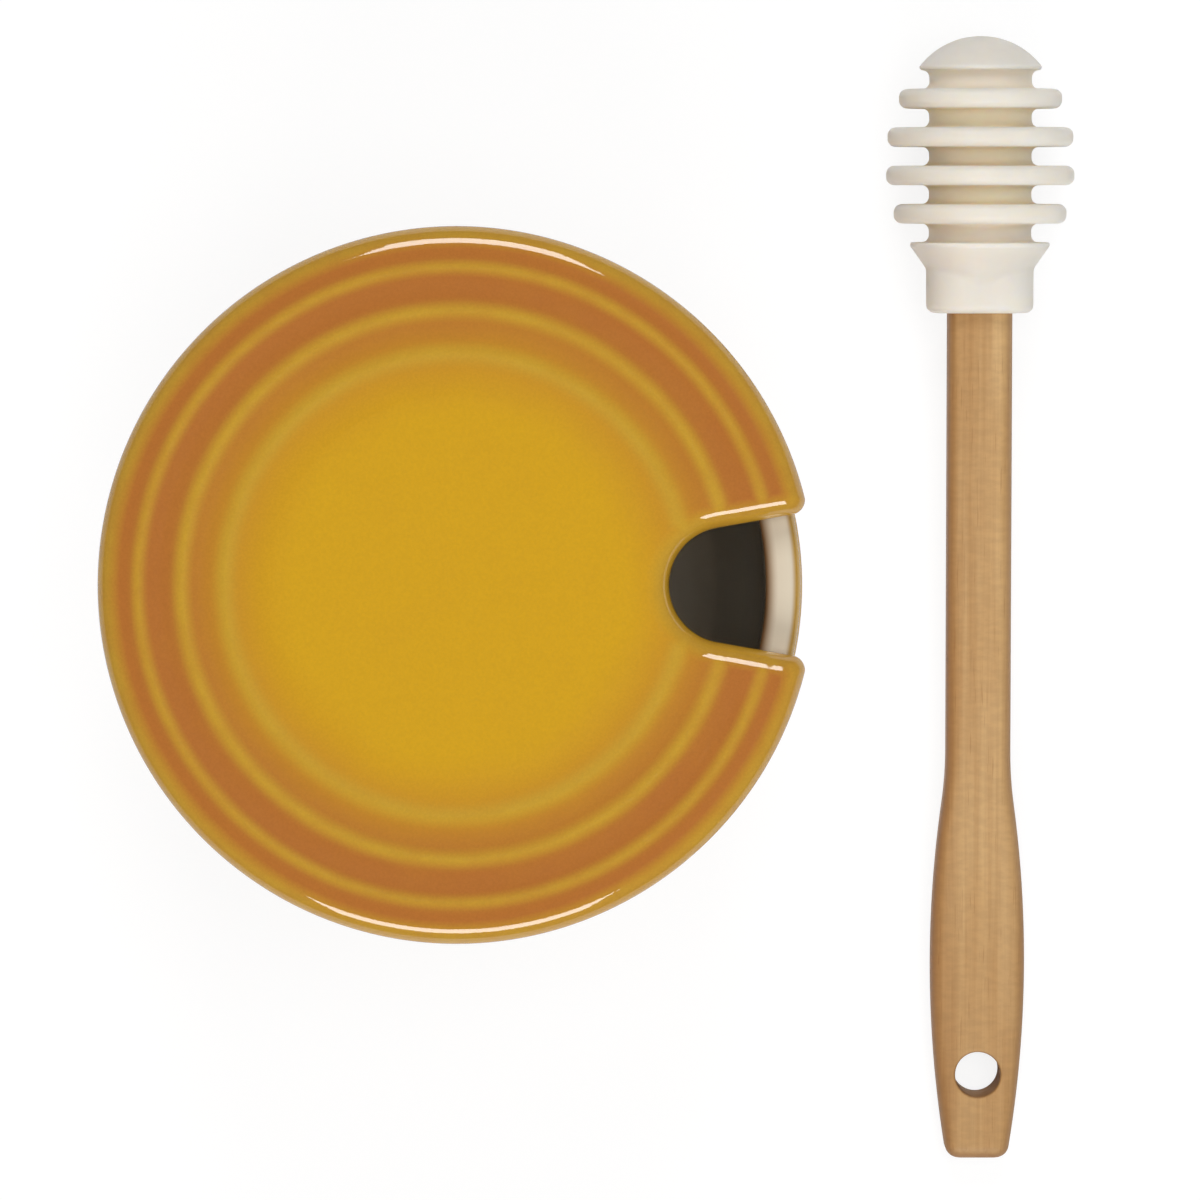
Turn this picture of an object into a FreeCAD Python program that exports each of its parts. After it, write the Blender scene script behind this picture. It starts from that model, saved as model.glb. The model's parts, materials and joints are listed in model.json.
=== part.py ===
import FreeCAD, Part
import math
import os

# A fluted stoneware honey pot with a notched lift-off lid, and a two-piece dipper lying beside it.
# Millimetres and degrees. The pot stands on z = 0 around the z axis, and the notch faces +x.

# Pot body
rim_radius = 51.9
rim_height = 84.0
wall = 5.3
lip_land = 1.5
belly_bulge = 0.3
belly_height = 52.0
base_inset = 7.6
base_height = 9.0
pot_flutes = 10
pot_flute_depth = 0.6
pot_crest_radius = 1.6

# Pot foot and floor
foot_inset = 6.0
foot_width = 4.0
foot_rise = 1.2
foot_edge = 0.6
foot_recess = 2.0
floor_thickness = 6.0
floor_corner_rise = 7.0

# Lid plate
lid_overhang = 2.1
lid_thickness = 7.0
lid_edge_radius = 3.6
lid_under_radius = 1.5
lid_rings = 3
lid_ring_inset = 6.3
lid_ring_pitch = 6.5
lid_flute_depth = 0.4
lid_inner_depth = 0.15
lid_crest_radius = 2.2
lid_crest_drop = 0.04

# Lid notch
notch_reach = 22.0
notch_end_radius = 8.7
notch_flare = 10.0
notch_corner_ease = 0.4

# Locating ring under the lid
flange_clearance = 1.0
flange_width = 4.0
flange_depth = 5.0
flange_edge = 1.2
flange_gap = 3.0

# Dipper head, measured along its axis from the mouth of the collar
core_radius = 8.3
disc_reaches = (5.7, 6.95, 6.75, 4.9)
disc_thickness = 3.15
disc_flat = 0.55
disc_pitch = 6.2
first_disc = 16.05
groove_fillet = 0.8
flare_reach = 3.0
flare_angle = 35.0
flare_edge = 0.6
cap_reach = 1.6
cap_height = 5.5
cap_edge = 0.6
collar_side = 3.45
collar_cover = 3.15
collar_corner = 6.3
collar_edge = 1.3

# Dipper handle
handle_length = 138.15
handle_width = 10.4
handle_thickness = 8.5
handle_round = 2.2
grip_swell = 2.4
grip_height = 32.0
grip_radius = 190.0
neck_radius = 62.0
tail_ease = 0.4
hole_radius = 3.7
hole_inset = 13.95
hole_edge = 0.4
grip_depth = 7.0
tenon_shoulder = 0.65
tenon_length = 22.0
tenon_edge = 1.0
fit_clearance = 0.05
tip_clearance = 0.5

# Where the dipper lies
dipper_gap = 14.0
dipper_shift = -2.15

# Small working lengths: an overlap that joins two solids, and a margin that clears a cut
overlap = 1.0
margin = 5.0

# Sizes that follow from the ones above
belly_radius = rim_radius + belly_bulge
base_radius = rim_radius - base_inset
foot_radius = base_radius - foot_inset
lip_radius = (wall - lip_land) / 2
mouth_radius = rim_radius - wall
lid_radius = rim_radius + lid_overhang
lid_top = rim_height + lid_thickness
notch_corner_radius = lid_edge_radius + notch_corner_ease
floor_top = foot_recess + floor_thickness
disc_radii = tuple(core_radius + reach for reach in disc_reaches)
disc_edge = (disc_thickness - disc_flat) / 2
flare_radius = core_radius + flare_reach
cap_radius = core_radius + cap_reach
collar_width = handle_width + 2 * collar_side
collar_thickness = handle_thickness + 2 * collar_cover
grip_width = handle_width + 2 * grip_swell
tail_corner = handle_round + tail_ease
tenon_radius = handle_thickness / 2 - tenon_shoulder
head_length = first_disc + len(disc_radii) * disc_pitch - disc_thickness / 2 + cap_height

origin = FreeCAD.Vector(0, 0, 0)
x_axis = FreeCAD.Vector(1, 0, 0)
y_axis = FreeCAD.Vector(0, 1, 0)
z_axis = FreeCAD.Vector(0, 0, 1)


def at(radius, height):
    """A point of a turned outline, in the x-z plane."""
    return FreeCAD.Vector(radius, 0, height)


def unit(vector):
    return vector * (1 / vector.Length)


def line(start, end):
    return Part.LineSegment(start, end).toShape()


def arc(start, middle, end):
    return Part.Arc(start, middle, end).toShape()


def arc_about(centre, start, end):
    """The shorter arc from start to end around a centre."""
    halfway = unit(unit(start - centre) + unit(end - centre))
    return arc(start, centre + halfway * (start - centre).Length, end)


def leaving_arc(start, normal, end):
    """The arc that leaves start at right angles to a normal and reaches end."""
    chord = end - start
    radius = chord.dot(chord) / (2 * normal.dot(chord))
    return arc_about(start + normal * radius, start, end)


def turned(edges, axis):
    """The solid that a closed outline makes when it turns around an axis through the origin."""
    return Part.Face(Part.Wire(edges)).revolve(origin, axis, 360)


def fluted_edges(tops, normals, dips, crest_radius):
    """Rounded crests joined by hollow flutes, each arc running smoothly into the next.

    Each dip is the deepest point of a flute with the direction that it opens in."""
    centres = [top - normal * crest_radius for top, normal in zip(tops, normals)]
    edges = []
    begin = tops[0]
    for index, (dip, opening) in enumerate(dips):
        reach = dip - centres[index]
        hollow = (reach.dot(reach) - crest_radius ** 2) / (2 * (crest_radius - reach.dot(opening)))
        focus = dip + opening * hollow
        leave = centres[index] + unit(focus - centres[index]) * crest_radius
        land = centres[index + 1] + unit(focus - centres[index + 1]) * crest_radius
        edges.append(arc_about(centres[index], begin, leave))
        edges.append(arc(leave, dip, land))
        begin = land
    edges.append(arc_about(centres[-1], begin, tops[-1]))
    return edges


def barrel():
    """The circle that the crests of the pot's wall lie on: its centre and its radius."""
    circle = Part.Circle(at(rim_radius, rim_height - lip_radius), at(belly_radius, belly_height),
                         at(base_radius, base_height))
    return circle.Center, circle.Radius


def barrel_radius(height):
    """The distance of the pot's crests from its axis at a height."""
    centre, radius = barrel()
    return centre.x + math.sqrt(radius ** 2 - (height - centre.z) ** 2)


def pot_wall_edges():
    """The fluted outside of the pot, from under the lip down to the base."""
    centre, radius = barrel()
    upper = math.asin((rim_height - lip_radius - centre.z) / radius)
    lower = math.asin((base_height - centre.z) / radius)
    step = (lower - upper) / pot_flutes

    def outward(count):
        angle = upper + count * step
        return at(math.cos(angle), math.sin(angle))

    normals = [outward(count) for count in range(pot_flutes + 1)]
    tops = [centre + normal * radius for normal in normals]
    openings = [outward(count + 0.5) for count in range(pot_flutes)]
    dips = [(centre + opening * (radius - pot_flute_depth), opening) for opening in openings]
    return fluted_edges(tops, normals, dips, pot_crest_radius)


def pot_foot_edges():
    """The base and the foot ring, from the lowest crest to the axis."""
    centre, radius = barrel()
    base = at(base_radius, base_height)
    shoulder = at(foot_radius, foot_rise)
    inner = foot_radius - foot_width
    outer_edge = at(foot_radius - foot_edge, foot_edge)
    inner_edge = at(inner + foot_edge, foot_edge)
    return [
        leaving_arc(base, unit(centre - base), shoulder),
        line(shoulder, at(foot_radius, foot_edge)),
        arc_about(outer_edge, at(foot_radius, foot_edge), at(foot_radius - foot_edge, 0)),
        line(at(foot_radius - foot_edge, 0), at(inner + foot_edge, 0)),
        arc_about(inner_edge, at(inner + foot_edge, 0), at(inner, foot_edge)),
        line(at(inner, foot_edge), at(inner, foot_recess)),
        line(at(inner, foot_recess), at(0, foot_recess)),
    ]


def pot_inside_edges():
    """The inside of the pot and its lip, from the axis up to the outer edge of the lip."""
    turn_height = floor_top + floor_corner_rise
    lip_height = rim_height - lip_radius
    low = at(barrel_radius(turn_height) - wall, turn_height)
    middle = at(belly_radius - wall, belly_height)
    high = at(mouth_radius, lip_height)
    inward = unit(Part.Circle(low, middle, high).Center - low)
    corner = floor_corner_rise / (1 - inward.z)
    corner_centre = low + inward * corner
    floor_end = at(corner_centre.x, floor_top)
    inner_lip = at(mouth_radius + lip_radius, lip_height)
    outer_lip = at(rim_radius - lip_radius, lip_height)
    land_start = at(mouth_radius + lip_radius, rim_height)
    land_end = at(rim_radius - lip_radius, rim_height)
    return [
        line(at(0, floor_top), floor_end),
        arc_about(corner_centre, floor_end, low),
        arc(low, middle, high),
        arc_about(inner_lip, high, land_start),
        line(land_start, land_end),
        arc_about(outer_lip, land_end, at(rim_radius, lip_height)),
    ]


def make_pot():
    edges = pot_inside_edges() + pot_wall_edges() + pot_foot_edges()
    edges.append(line(at(0, foot_recess), at(0, floor_top)))
    return turned(edges, z_axis)


def mirrored(point):
    return FreeCAD.Vector(point.x, -point.y, point.z)


def notch_sides(extra):
    """The notch's end centre, the lean of its +y side and where that side leaves the round end."""
    lean = math.radians(notch_flare)
    along = FreeCAD.Vector(math.cos(lean), math.sin(lean), 0)
    across = FreeCAD.Vector(-math.sin(lean), math.cos(lean), 0)
    centre = FreeCAD.Vector(lid_radius - notch_reach + notch_end_radius, 0, 0)
    return centre, along, across, centre + across * (notch_end_radius + extra)


def notch_end(centre, leave, extra):
    """The round end of the notch, from its -y side to its +y side."""
    return arc(mirrored(leave), centre - x_axis * (notch_end_radius + extra), leave)


def lid_outline():
    """The lid seen from above: a disc with the notch let in and its two corners rounded."""
    centre, along, across, leave = notch_sides(0)
    line_of_corners = leave + across * notch_corner_radius
    inset = lid_radius - notch_corner_radius
    ahead = line_of_corners.dot(along)
    run = math.sqrt(ahead ** 2 - line_of_corners.dot(line_of_corners) + inset ** 2) - ahead
    corner = line_of_corners + along * run
    side_end = corner - across * notch_corner_radius
    rim_start = unit(corner) * lid_radius
    return [
        notch_end(centre, leave, 0),
        line(leave, side_end),
        arc_about(corner, side_end, rim_start),
        arc(rim_start, x_axis * -lid_radius, mirrored(rim_start)),
        arc_about(mirrored(corner), mirrored(rim_start), mirrored(side_end)),
        line(mirrored(side_end), mirrored(leave)),
    ]


def notch_block(extra, low, high):
    """The notch grown by a margin all round, as a block that runs out past the lid's edge."""
    centre, along, across, leave = notch_sides(extra)
    far = leave + along * (notch_reach + margin)
    edges = [
        notch_end(centre, leave, extra),
        line(leave, far),
        line(far, mirrored(far)),
        line(mirrored(far), mirrored(leave)),
    ]
    block = Part.Face(Part.Wire(edges)).extrude(z_axis * (high - low))
    block.translate(z_axis * low)
    return block


def edges_at(solid, height):
    """The edges of a solid that lie flat at one height."""
    return [edge for edge in solid.Edges
            if abs(edge.BoundBox.ZMin - height) < fit_clearance and abs(edge.BoundBox.ZMax - height) < fit_clearance]


def lid_top_edges():
    """The lid's upper outline from the axis outward: a plain middle, then ring crests and hollows."""
    crest_height = lid_top - lid_crest_drop
    outer_ring = lid_radius - lid_ring_inset
    steps = range(lid_rings, -2, -1)
    tops = [at(outer_ring - step * lid_ring_pitch, crest_height) for step in steps]
    dips = []
    depth = lid_inner_depth
    for top in tops[:-1]:
        dips.append((top + at(lid_ring_pitch / 2, -depth), z_axis))
        depth = lid_flute_depth
    return tops, fluted_edges(tops, [z_axis] * len(tops), dips, lid_crest_radius)


def make_lid_plate():
    puck = Part.Face(Part.Wire(lid_outline())).extrude(z_axis * lid_thickness)
    puck.translate(z_axis * rim_height)
    puck = puck.makeFillet(lid_edge_radius, edges_at(puck, lid_top))
    puck = puck.makeFillet(lid_under_radius, edges_at(puck, rim_height))
    tops, rings = lid_top_edges()
    below = rim_height - margin
    outside = lid_radius + margin
    start = at(0, tops[0].z)
    end = at(outside, tops[-1].z)
    outline = [line(start, tops[0])] + rings + [
        line(tops[-1], end),
        line(end, at(outside, below)),
        line(at(outside, below), at(0, below)),
        line(at(0, below), start),
    ]
    return puck.common(turned(outline, z_axis))


def make_flange():
    """The ring under the lid that keeps it centred in the mouth, open at the notch."""
    outer = mouth_radius - flange_clearance
    inner = outer - flange_width
    low = rim_height - flange_depth
    high = rim_height + overlap
    edges = [
        line(at(inner, high), at(inner, low + flange_edge)),
        arc_about(at(inner + flange_edge, low + flange_edge),
                  at(inner, low + flange_edge), at(inner + flange_edge, low)),
        line(at(inner + flange_edge, low), at(outer - flange_edge, low)),
        arc_about(at(outer - flange_edge, low + flange_edge),
                  at(outer - flange_edge, low), at(outer, low + flange_edge)),
        line(at(outer, low + flange_edge), at(outer, high)),
        line(at(outer, high), at(inner, high)),
    ]
    return turned(edges, z_axis).cut(notch_block(flange_gap, low - margin, high + margin))


def make_lid():
    return make_lid_plate().fuse(make_flange()).removeSplitter()


def rounded_block(width, thickness, corner, start, end):
    """A bar along y with a rounded rectangular section, from one end to the other."""
    bar = Part.makeBox(width, end - start, thickness, FreeCAD.Vector(-width / 2, start, -thickness / 2))
    long_edges = [edge for edge in bar.Edges if edge.BoundBox.YLength > (end - start) / 2]
    return bar.makeFillet(corner, long_edges)


def along(radius, reach):
    """A point of the dipper's turned outline: its distance from the axis and its place along it."""
    return FreeCAD.Vector(radius, reach, 0)


def circles_at(solid, radius, levels):
    """The edges of a turned solid that run round its axis with one radius, at some levels along it."""
    found = []
    for edge in solid.Edges:
        box = edge.BoundBox
        level = (box.YMin + box.YMax) / 2
        on_level = any(abs(level - each) < fit_clearance for each in levels)
        if on_level and box.YLength < fit_clearance and abs(box.XLength / 2 - radius) < fit_clearance:
            found.append(edge)
    return found


def disc_faces():
    """Where each disc of the dipper head starts and ends along the axis."""
    middles = [first_disc + index * disc_pitch for index in range(len(disc_radii))]
    return [(middle - disc_thickness / 2, middle + disc_thickness / 2) for middle in middles]


def make_head_body():
    """The turned part of the head: flared skirt, core, four discs and a domed cap."""
    faces = disc_faces()
    skirt_top = faces[0][0] - disc_pitch + disc_thickness
    cap_start = faces[-1][1] + disc_pitch - disc_thickness
    slope = math.tan(math.radians(flare_angle))
    skirt_root = collar_thickness / 2 - overlap
    skirt_edge = skirt_top - flare_edge
    skirt_foot = skirt_edge - (flare_radius - skirt_root) / slope
    dome_start = cap_start + cap_edge
    tip = along(0, cap_start + cap_height)
    points = [along(0, skirt_foot), along(skirt_root, skirt_foot), along(flare_radius, skirt_edge),
              along(flare_radius, skirt_top), along(core_radius, skirt_top)]
    for radius, (start, end) in zip(disc_radii, faces):
        points += [along(core_radius, start), along(radius, start), along(radius, end), along(core_radius, end)]
    points += [along(core_radius, cap_start), along(cap_radius, cap_start), along(cap_radius, dome_start)]
    edges = [line(start, end) for start, end in zip(points, points[1:])]
    edges.append(leaving_arc(tip, y_axis * -1, points[-1]))
    edges.append(line(tip, points[0]))
    body = turned(edges, y_axis)
    for radius, pair in zip(disc_radii, faces):
        body = body.makeFillet(disc_edge, circles_at(body, radius, pair))
    roots = [level for pair in faces for level in pair] + [skirt_top, cap_start]
    return body.makeFillet(groove_fillet, circles_at(body, core_radius, roots))


def make_collar():
    """The flat-sided collar that grips the handle, long enough to end inside the flared skirt."""
    reach = math.hypot(collar_width / 2 - collar_corner, collar_thickness / 2 - collar_corner) + collar_corner
    skirt_edge = disc_faces()[0][0] - disc_pitch + disc_thickness - flare_edge
    length = skirt_edge - (flare_radius - reach) / math.tan(math.radians(flare_angle))
    collar = rounded_block(collar_width, collar_thickness, collar_corner, 0, length + fit_clearance)
    mouth = [edge for edge in collar.Edges if edge.BoundBox.YMax < fit_clearance]
    return collar.makeFillet(collar_edge, mouth)


def tenon(clearance, end_clearance):
    """The handle's end inside the head: the full section first, then a round peg."""
    section = rounded_block(handle_width + 2 * clearance, handle_thickness + 2 * clearance,
                            handle_round + clearance, -overlap, grip_depth + end_clearance)
    radius = tenon_radius + clearance
    peg = Part.makeCylinder(radius, tenon_length + overlap, along(0, grip_depth + end_clearance - overlap), y_axis)
    peg = peg.makeFillet(tenon_edge, circles_at(peg, radius, [grip_depth + end_clearance + tenon_length]))
    return section, peg


def make_head():
    section, peg = tenon(fit_clearance, tip_clearance)
    return make_head_body().fuse(make_collar()).removeSplitter().cut(section).cut(peg)


def handle_outline():
    """The handle seen from above: a straight shank that swells into a grip and ends in a tail."""
    half = handle_width / 2
    tail = -handle_length
    grip_centre = along(grip_width / 2 - grip_radius, tail + grip_height)
    rise = half + neck_radius - grip_centre.x
    neck_place = grip_centre.y + math.sqrt((grip_radius + neck_radius) ** 2 - rise ** 2)
    neck_centre = along(half + neck_radius, neck_place)
    meet = grip_centre + unit(neck_centre - grip_centre) * grip_radius
    corner_level = tail + tail_corner
    corner_reach = math.sqrt((grip_radius - tail_corner) ** 2 - (corner_level - grip_centre.y) ** 2)
    corner = along(grip_centre.x + corner_reach, corner_level)
    corner_top = grip_centre + unit(corner - grip_centre) * grip_radius
    side = [
        (arc_about, corner, along(corner.x, tail), corner_top),
        (arc_about, grip_centre, corner_top, meet),
        (arc_about, neck_centre, meet, along(half, neck_place)),
    ]
    edges = [line(along(-corner.x, tail), along(corner.x, tail))]
    edges += [draw(*places) for draw, *places in side]
    edges.append(line(along(half, neck_place), along(half, grip_depth)))
    edges.append(line(along(half, grip_depth), along(-half, grip_depth)))
    edges.append(line(along(-half, grip_depth), along(-half, neck_place)))
    for draw, centre, start, end in reversed(side):
        edges.append(draw(flipped(centre), flipped(end), flipped(start)))
    return edges


def flipped(point):
    return FreeCAD.Vector(-point.x, point.y, point.z)


def make_handle():
    low = -handle_thickness / 2
    high = handle_thickness / 2
    bar = Part.Face(Part.Wire(handle_outline())).extrude(z_axis * handle_thickness)
    bar.translate(z_axis * low)
    rims = [edge for edge in edges_at(bar, low) + edges_at(bar, high)
            if edge.BoundBox.YMin < grip_depth - fit_clearance]
    bar = bar.makeFillet(handle_round, rims)
    section, peg = tenon(0, 0)
    place = along(0, hole_inset - handle_length)
    hole = Part.makeCylinder(hole_radius, handle_thickness + 2 * margin, place + z_axis * (low - margin), z_axis)
    bar = bar.fuse(peg).removeSplitter().cut(hole)
    lips = [edge for edge in edges_at(bar, low) + edges_at(bar, high)
            if abs(edge.BoundBox.XLength / 2 - hole_radius) < fit_clearance]
    return bar.makeFillet(hole_edge, lips)


def rest_angle(disc_radius, disc_start):
    """The lean at which a disc's lower edge and the tail's lower edge are level."""
    run = disc_start + disc_edge - (handle_round - handle_length)
    drop = disc_radius - disc_edge - (handle_thickness / 2 - handle_round)
    lift = math.asin((disc_edge - handle_round) / math.hypot(run, drop))
    return lift + math.atan2(drop, run)


def lay_down(solid):
    """Move a piece of the dipper from its own axis to where the dipper lies on the table."""
    lean = max(rest_angle(radius, start) for radius, (start, end) in zip(disc_radii, disc_faces()))
    tail_depth = (handle_length - handle_round) * math.sin(lean)
    tail_depth += (handle_thickness / 2 - handle_round) * math.cos(lean) + handle_round
    middle = (head_length - handle_length) / 2 * math.cos(lean)
    solid.rotate(origin, x_axis, math.degrees(lean))
    solid.translate(FreeCAD.Vector(lid_radius + dipper_gap + max(disc_radii), dipper_shift - middle, tail_depth))
    return solid


os.makedirs("parts", exist_ok=True)
make_pot().exportStep("parts/pot.step")
make_lid().exportStep("parts/lid.step")
lay_down(make_head()).exportStep("parts/dipper_head.step")
lay_down(make_handle()).exportStep("parts/dipper_handle.step")
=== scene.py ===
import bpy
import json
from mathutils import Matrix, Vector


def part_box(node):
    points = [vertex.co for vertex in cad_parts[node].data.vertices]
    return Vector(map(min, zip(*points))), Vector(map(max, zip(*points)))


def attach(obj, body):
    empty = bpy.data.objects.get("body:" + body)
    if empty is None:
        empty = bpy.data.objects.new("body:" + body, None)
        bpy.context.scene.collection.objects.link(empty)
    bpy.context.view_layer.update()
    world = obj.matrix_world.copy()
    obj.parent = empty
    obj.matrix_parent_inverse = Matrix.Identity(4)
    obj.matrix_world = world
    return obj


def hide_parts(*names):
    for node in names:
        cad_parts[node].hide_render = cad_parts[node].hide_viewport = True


bl_info = {
    "name": "Honey pot with dipper",
    "version": (1, 0, 0),
    "blender": (4, 5, 0),
    "location": "View3D > Sidebar > Honey pot",
    "description": "Models a fluted stoneware honey pot, its notched lid and a two-piece dipper",
    "category": "Add Mesh",
}

import json
import math

import bmesh
import bpy
from bpy.props import FloatProperty, FloatVectorProperty, IntProperty, PointerProperty
from mathutils import Matrix, Vector

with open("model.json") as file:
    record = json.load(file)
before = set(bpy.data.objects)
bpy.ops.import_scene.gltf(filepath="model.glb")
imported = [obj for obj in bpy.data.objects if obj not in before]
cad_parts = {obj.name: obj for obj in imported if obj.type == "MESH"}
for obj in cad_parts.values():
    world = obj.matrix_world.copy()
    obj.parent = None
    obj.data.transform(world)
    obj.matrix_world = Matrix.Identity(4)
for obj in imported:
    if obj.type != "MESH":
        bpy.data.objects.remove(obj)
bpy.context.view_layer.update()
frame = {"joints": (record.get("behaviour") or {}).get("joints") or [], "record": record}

WELD = 1e-7
ON_PLANE = 1e-5
ON_RIM = 3.6e-6
SHARP_ANGLE = math.radians(38)
QUARTER = math.pi / 2

# Steps of the outlines: of the pot, the lid, the dipper's head and its handle
FLOOR_STEPS, INSIDE_STEPS, LIP_STEPS, RIM_STEPS = 10, 24, 8, 10
FLUTE_STEPS, BASE_STEPS, FOOT_STEPS = 16, 12, 5
NOTCH_END_STEPS, NOTCH_SIDE_STEPS, NOTCH_CORNER_STEPS = 32, 20, 24
EDGE_STEPS, UNDER_STEPS, FLANGE_STEPS = 12, 6, 5
DOME_STEPS, DISC_STEPS, COLLAR_STEPS, MOUTH_STEPS = 24, 6, 32, 7
TAIL_STEPS, HOLE_LEAD_STEPS, SHANK_STEPS, HOLE_EDGE_STEPS, PEG_STEPS = 10, 8, 96, 5, 5
FLAT_STEPS, SIDE_STEPS, CORNER_STEPS = 18, 4, 6

# The notch: how far round the lid's mesh gives way to it, how far from it the flutes fade,
# and what share of them is left at its side
NOTCH_BLEND = math.radians(60)
NOTCH_FADE = 0.008
NOTCH_FLUTE = 0.15

# The lip, as shares of its inner and its outer rounding: the brown painted shade over the inner
# rounding and where it goes, the brown line outside and where it comes and goes, and where
# cream gives way to honey
INNER_PAINTED_SHADE, INNER_SHADE_END = 0.95, (0.1, 1.0)
OUTER_LINE, OUTER_LINE_START, OUTER_LINE_END = 0.25, (0.15, 0.4), (0.5, 0.75)
CREAM_END = (0.18, 0.5)

# Where thin glaze starts and ends beside a crest of the pot, and beside the lid's outer ring,
# how much wider it is from ring to ring, and how strong it is
POT_CREST = (0.0006, 0.0022)
BASE_CREST = 0.6
LID_CREST = (0.0001, 0.0016)
LID_CREST_GROWTH = 0.0004
LID_CREST_SHARE = (0.78, 0.11)
LID_EDGE_RISE = (-0.1, 0.6)
LID_SHADE = (0.0235, 0.0455)

# Rings of the mesh in the lid's plain middle and on the handle's tail, as shares of their radius
PLAIN_RINGS = (0, 0.25, 0.5, 0.7, 0.85, 0.95)
TAIL_RINGS = (0.8, 0.5, 0.25)

# How far over the core the grooves carry painted light, standing in for light through the
# silicone, how much of that is lost in the outer grooves, and where these are, in disc pitches
# from the middle
GROOVE_REACH = 0.003
GROOVE_LOSS = 0.85
OUTER_GROOVES = (1.2, 2.4)

# The flat patch round the hanging hole that is remeshed, how far end grain shows at the tail,
# where a face counts as a side for the painted shade on the sides, where the wood darkens
# towards its -x side, and two tones laid over the wood
HOLE_PATCH = 0.0015
END_GRAIN = 0.0012
SIDE_SHADE_RISE = (0.0, 0.3)
MINUS_X_DARK_ACROSS = (-0.0075, -0.001)
SOFT_PATCH = (0.955, 0.92, 0.87, 1.0)
MINUS_X_DARKENING = (0.81, 0.73, 0.64, 1.0)

# The floor lies a hair under the foot and runs out into plain white
FLOOR_DROP = 0.0002
FLOOR_FADE = (0.2, 0.9)
FLOOR_PAINT = (0.9, 0.9, 0.9, 1.0)
FLOOR_WHITE = 1.06
WHITE = (1.0, 1.0, 1.0, 1.0)

pot_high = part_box("pot")[1]
lid_low, lid_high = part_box("lid")
joint_axes = {joint["name"]: Vector(joint["axis"]) for joint in frame["joints"]}
mount_places = {mount["name"]: Vector(mount["pos_m"]) for mount in frame["record"]["mounts"]}
dipper_axis = joint_axes["head_pull"].normalized()
hole_place = mount_places["hanging_hole"]


def srgb(red, green, blue):
    """A colour as a screen shows it, 0 to 255, as Blender's linear light."""
    shares = [channel / 255 for channel in (red, green, blue)]
    return tuple(c / 12.92 if c <= 0.04045 else ((c + 0.055) / 1.055) ** 2.4 for c in shares)


def metres(label, words, value):
    return FloatProperty(name=label, description=words, default=value, min=0.0,
                         unit="LENGTH", precision=5)


def degrees(label, words, value):
    return FloatProperty(name=label, description=words, default=math.radians(value),
                         unit="ROTATION")


def position(label, words, *values):
    return FloatVectorProperty(name=label, description=words, default=values,
                               subtype="TRANSLATION", size=3)


def whole(label, words, value):
    return IntProperty(name=label, description=words, default=value, min=1)


def factor(label, words, value):
    return FloatProperty(name=label, description=words, default=value, min=0.0)


def tint(label, words, *screen):
    return FloatVectorProperty(name=label, description=words, default=srgb(*screen),
                               subtype="COLOR", size=3, min=0.0, max=1.0)


class PotSizes(bpy.types.PropertyGroup):
    """The stoneware body."""
    rim_height: metres("Rim height", "Height of the lip that the lid rests on", pot_high.z)
    rim_radius: metres("Rim radius", "Outer radius at the lip", 0.0519)
    wall: metres("Wall", "Thickness of the wall", 0.0053)
    lip_land: metres("Lip land", "Width of the flat on top of the lip", 0.0015)
    belly_bulge: metres("Belly bulge", "How far the belly stands out past the rim", 0.0003)
    belly_height: metres("Belly height", "Height at which the belly is measured", 0.052)
    base_inset: metres("Base inset", "How far the base draws in from the rim", 0.0076)
    base_height: metres("Base height", "Height of the lowest crest", 0.009)
    flutes: whole("Flutes", "Hollow rings turned into the wall", 10)
    flute_depth: metres("Flute depth", "Depth of each hollow under its crests", 0.0006)
    crest_radius: metres("Crest radius", "Rounding of each crest", 0.0016)
    foot_inset: metres("Foot inset", "How far the foot ring stands in from the base", 0.006)
    foot_width: metres("Foot width", "Width of the foot ring", 0.004)
    foot_rise: metres("Foot rise", "Height of the foot ring", 0.0012)
    foot_edge: metres("Foot edge", "Rounding of the foot ring", 0.0006)
    foot_recess: metres("Foot recess", "Height of the underside inside the foot ring", 0.002)
    floor_top: metres("Floor", "Height of the floor inside", 0.008)
    floor_corner_rise: metres("Floor corner", "Height of the round corner at the floor", 0.007)
    steps: whole("Steps round", "Faces round the pot", 224)


class LidSizes(bpy.types.PropertyGroup):
    """The lift-off lid."""
    radius: metres("Radius", "Outer radius of the lid", -lid_low.x)
    top: metres("Top", "Height of the crests on the lid", lid_high.z)
    under: metres("Underside", "Height at which the lid rests on the lip", pot_high.z)
    edge_radius: metres("Edge rounding", "Rounding of the upper edge", 0.0036)
    under_radius: metres("Lower rounding", "Rounding of the lower edge", 0.0015)
    rings: whole("Rings", "Raised rings round the plain middle", 3)
    ring_inset: metres("Ring inset", "How far the outer ring lies inside the edge", 0.0063)
    ring_pitch: metres("Ring pitch", "Distance from ring to ring", 0.0065)
    flute_depth: metres("Flute depth", "Depth of the hollows between the rings", 0.0004)
    inner_depth: metres("Inner depth", "Depth of the hollow round the middle", 0.00015)
    crest_radius: metres("Crest radius", "Rounding of each ring", 0.0022)
    notch_reach: metres("Notch reach", "How far the notch runs in from the edge", 0.022)
    notch_end_radius: metres("Notch end", "Radius of the notch's round end", 0.0087)
    notch_flare: degrees("Notch flare", "Lean of the notch's sides", 10)
    notch_corner_radius: metres("Notch corner", "Rounding that its two corners start from", 0.004)
    notch_corner_plan: metres("Corner from above", "Rounding of those corners in plan", 0.0023)
    flange_outer: metres("Locating ring", "Outer radius of the ring under the lid", 0.0456)
    flange_width: metres("Ring width", "Width of the ring under the lid", 0.004)
    flange_depth: metres("Ring depth", "How far that ring reaches into the pot", 0.005)
    flange_edge: metres("Ring edge", "Rounding of that ring", 0.0012)
    flange_gap: metres("Ring gap", "How far that ring ends short of the notch", 0.003)
    steps: whole("Steps round", "Faces round half of the lid", 144)


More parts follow.
